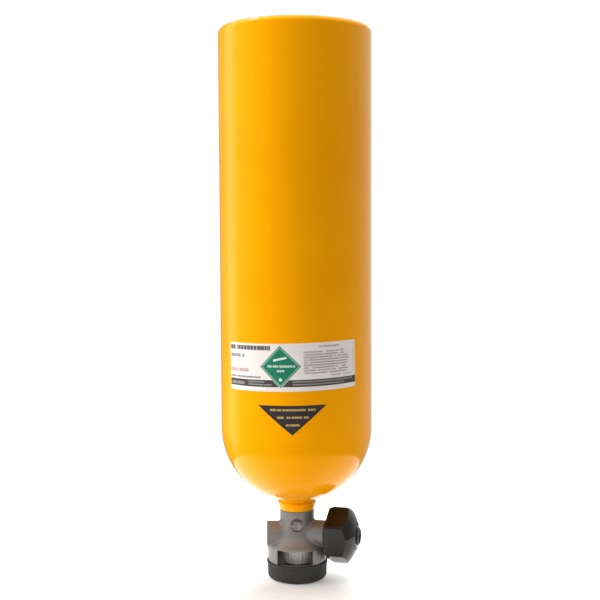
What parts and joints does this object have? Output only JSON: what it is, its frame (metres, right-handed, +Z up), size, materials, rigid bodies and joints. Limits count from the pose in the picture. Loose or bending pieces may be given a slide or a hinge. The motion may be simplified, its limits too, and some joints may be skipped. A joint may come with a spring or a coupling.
{
  "type": "breathing air cylinder",
  "caption": "Round-shouldered air cylinder standing on its valve: grey valve with a hexagonal handwheel, side outlet, relief plug and a gauge inside a rubber bumper.",
  "frame": {"origin": "middle of the bumper's foot, at the bottom of the standing cylinder", "axes": "+Z up along the cylinder's axis, towards its base; -X out of the valve's outlet; -Y out of the burst plug and towards the labels and the gauge window; the handwheel's axis is 16 degrees from +X towards -Y"},
  "size_m": [0.1679, 0.1682, 0.611],
  "materials": {
    "yellow_paint": "gloss enamel",
    "grey_anodised": "satin, hard anodised",
    "wheel_plastic": "gloss",
    "black_plastic": "satin",
    "bumper_rubber": "matte",
    "black_rubber": "matte",
    "plated_steel": "zinc plated",
    "nickel": "bright",
    "brass": "machined",
    "copper": "drawn",
    "white_nylon": "satin",
    "dial_white": "satin",
    "pointer_black": "satin",
    "clear_lens": "clear",
    "label_white": "satin film",
    "label_black": "satin film"
  },
  "bodies": {
    "cylinder": {"cylinder_shell": "yellow_paint", "neck_o_ring": "black_rubber", "information_label": "label_white", "caution_label": "label_black", "valve_body": "grey_anodised", "debris_tube": "brass", "burst_gasket": "copper", "burst_disc": "nickel", "burst_plug": "plated_steel", "stem_thrust_washer": "white_nylon", "bonnet_nut": "plated_steel", "stem_o_ring": "black_rubber", "bonnet_o_ring": "black_rubber", "gauge_stem": "brass", "gauge_stem_o_ring": "black_rubber", "gauge_case": "plated_steel", "lens_gasket": "black_rubber", "bourdon_coil": "copper", "gauge_dial": "dial_white", "gauge_lens": "clear_lens", "lens_retaining_ring": "clear_lens", "gauge_bumper": "bumper_rubber"},
    "handwheel": {"handwheel": "wheel_plastic", "handwheel_insert": "brass", "handwheel_washer": "plated_steel", "handwheel_nut": "plated_steel", "hub_cap": "black_plastic", "upper_stem": "plated_steel"},
    "spindle": {"lower_spindle": "brass", "seat_insert": "white_nylon"},
    "pointer": {"gauge_pointer": "pointer_black"}
  },
  "joints": [
    {"name": "handwheel_turn", "type": "hinge", "parent": "cylinder", "child": "handwheel", "pos_m": [0, 0, 0.0505], "axis": [0.9613, -0.2756, 0], "range_deg": [0, 900]},
    {"name": "spindle_slide", "type": "slide", "parent": "handwheel", "child": "spindle", "axis": [0.9613, -0.2756, 0], "range_m": [0, 0.00313]},
    {"name": "pointer_turn", "type": "hinge", "parent": "cylinder", "child": "pointer", "pos_m": [0, 0, 0.0193], "axis": [0, 0, 1], "range_deg": [0, 270], "stiffness_Nm_per_rad": 0.00001}
  ],
  "couplings": [
    {"joint": "spindle_slide", "follows": "handwheel_turn", "m_per_rad": 0.00019894}
  ]
}
